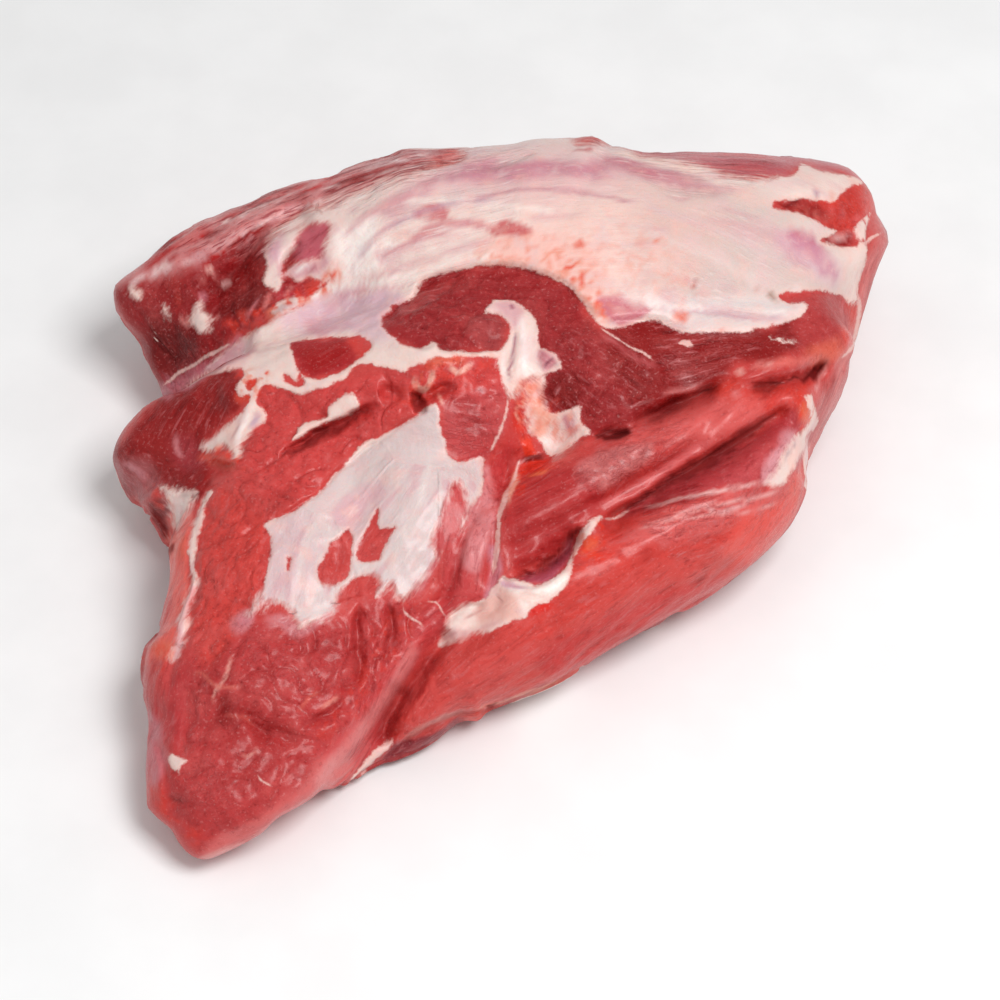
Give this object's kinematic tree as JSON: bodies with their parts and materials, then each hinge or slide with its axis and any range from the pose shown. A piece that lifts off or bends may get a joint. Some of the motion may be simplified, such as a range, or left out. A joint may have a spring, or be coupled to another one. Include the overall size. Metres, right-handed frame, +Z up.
{
  "type": "raw beef topside",
  "caption": "Whole raw boneless beef topside: a bundle of muscles with a fat cover, lying on a flat base.",
  "frame": {"origin": "on the surface it lies on, under the middle of its box", "axes": "+Z up out of the flat base, +X to the right and +Y away from someone who stands at its narrow end; the three-cornered piece points towards -Y at the left"},
  "size_m": [0.395, 0.388, 0.1317],
  "materials": {
    "raw_meat": "moist raw beef, red muscle with cream fat and silverskin"
  },
  "bodies": {
    "root": {"meat": "raw_meat"}
  },
  "joints": []
}
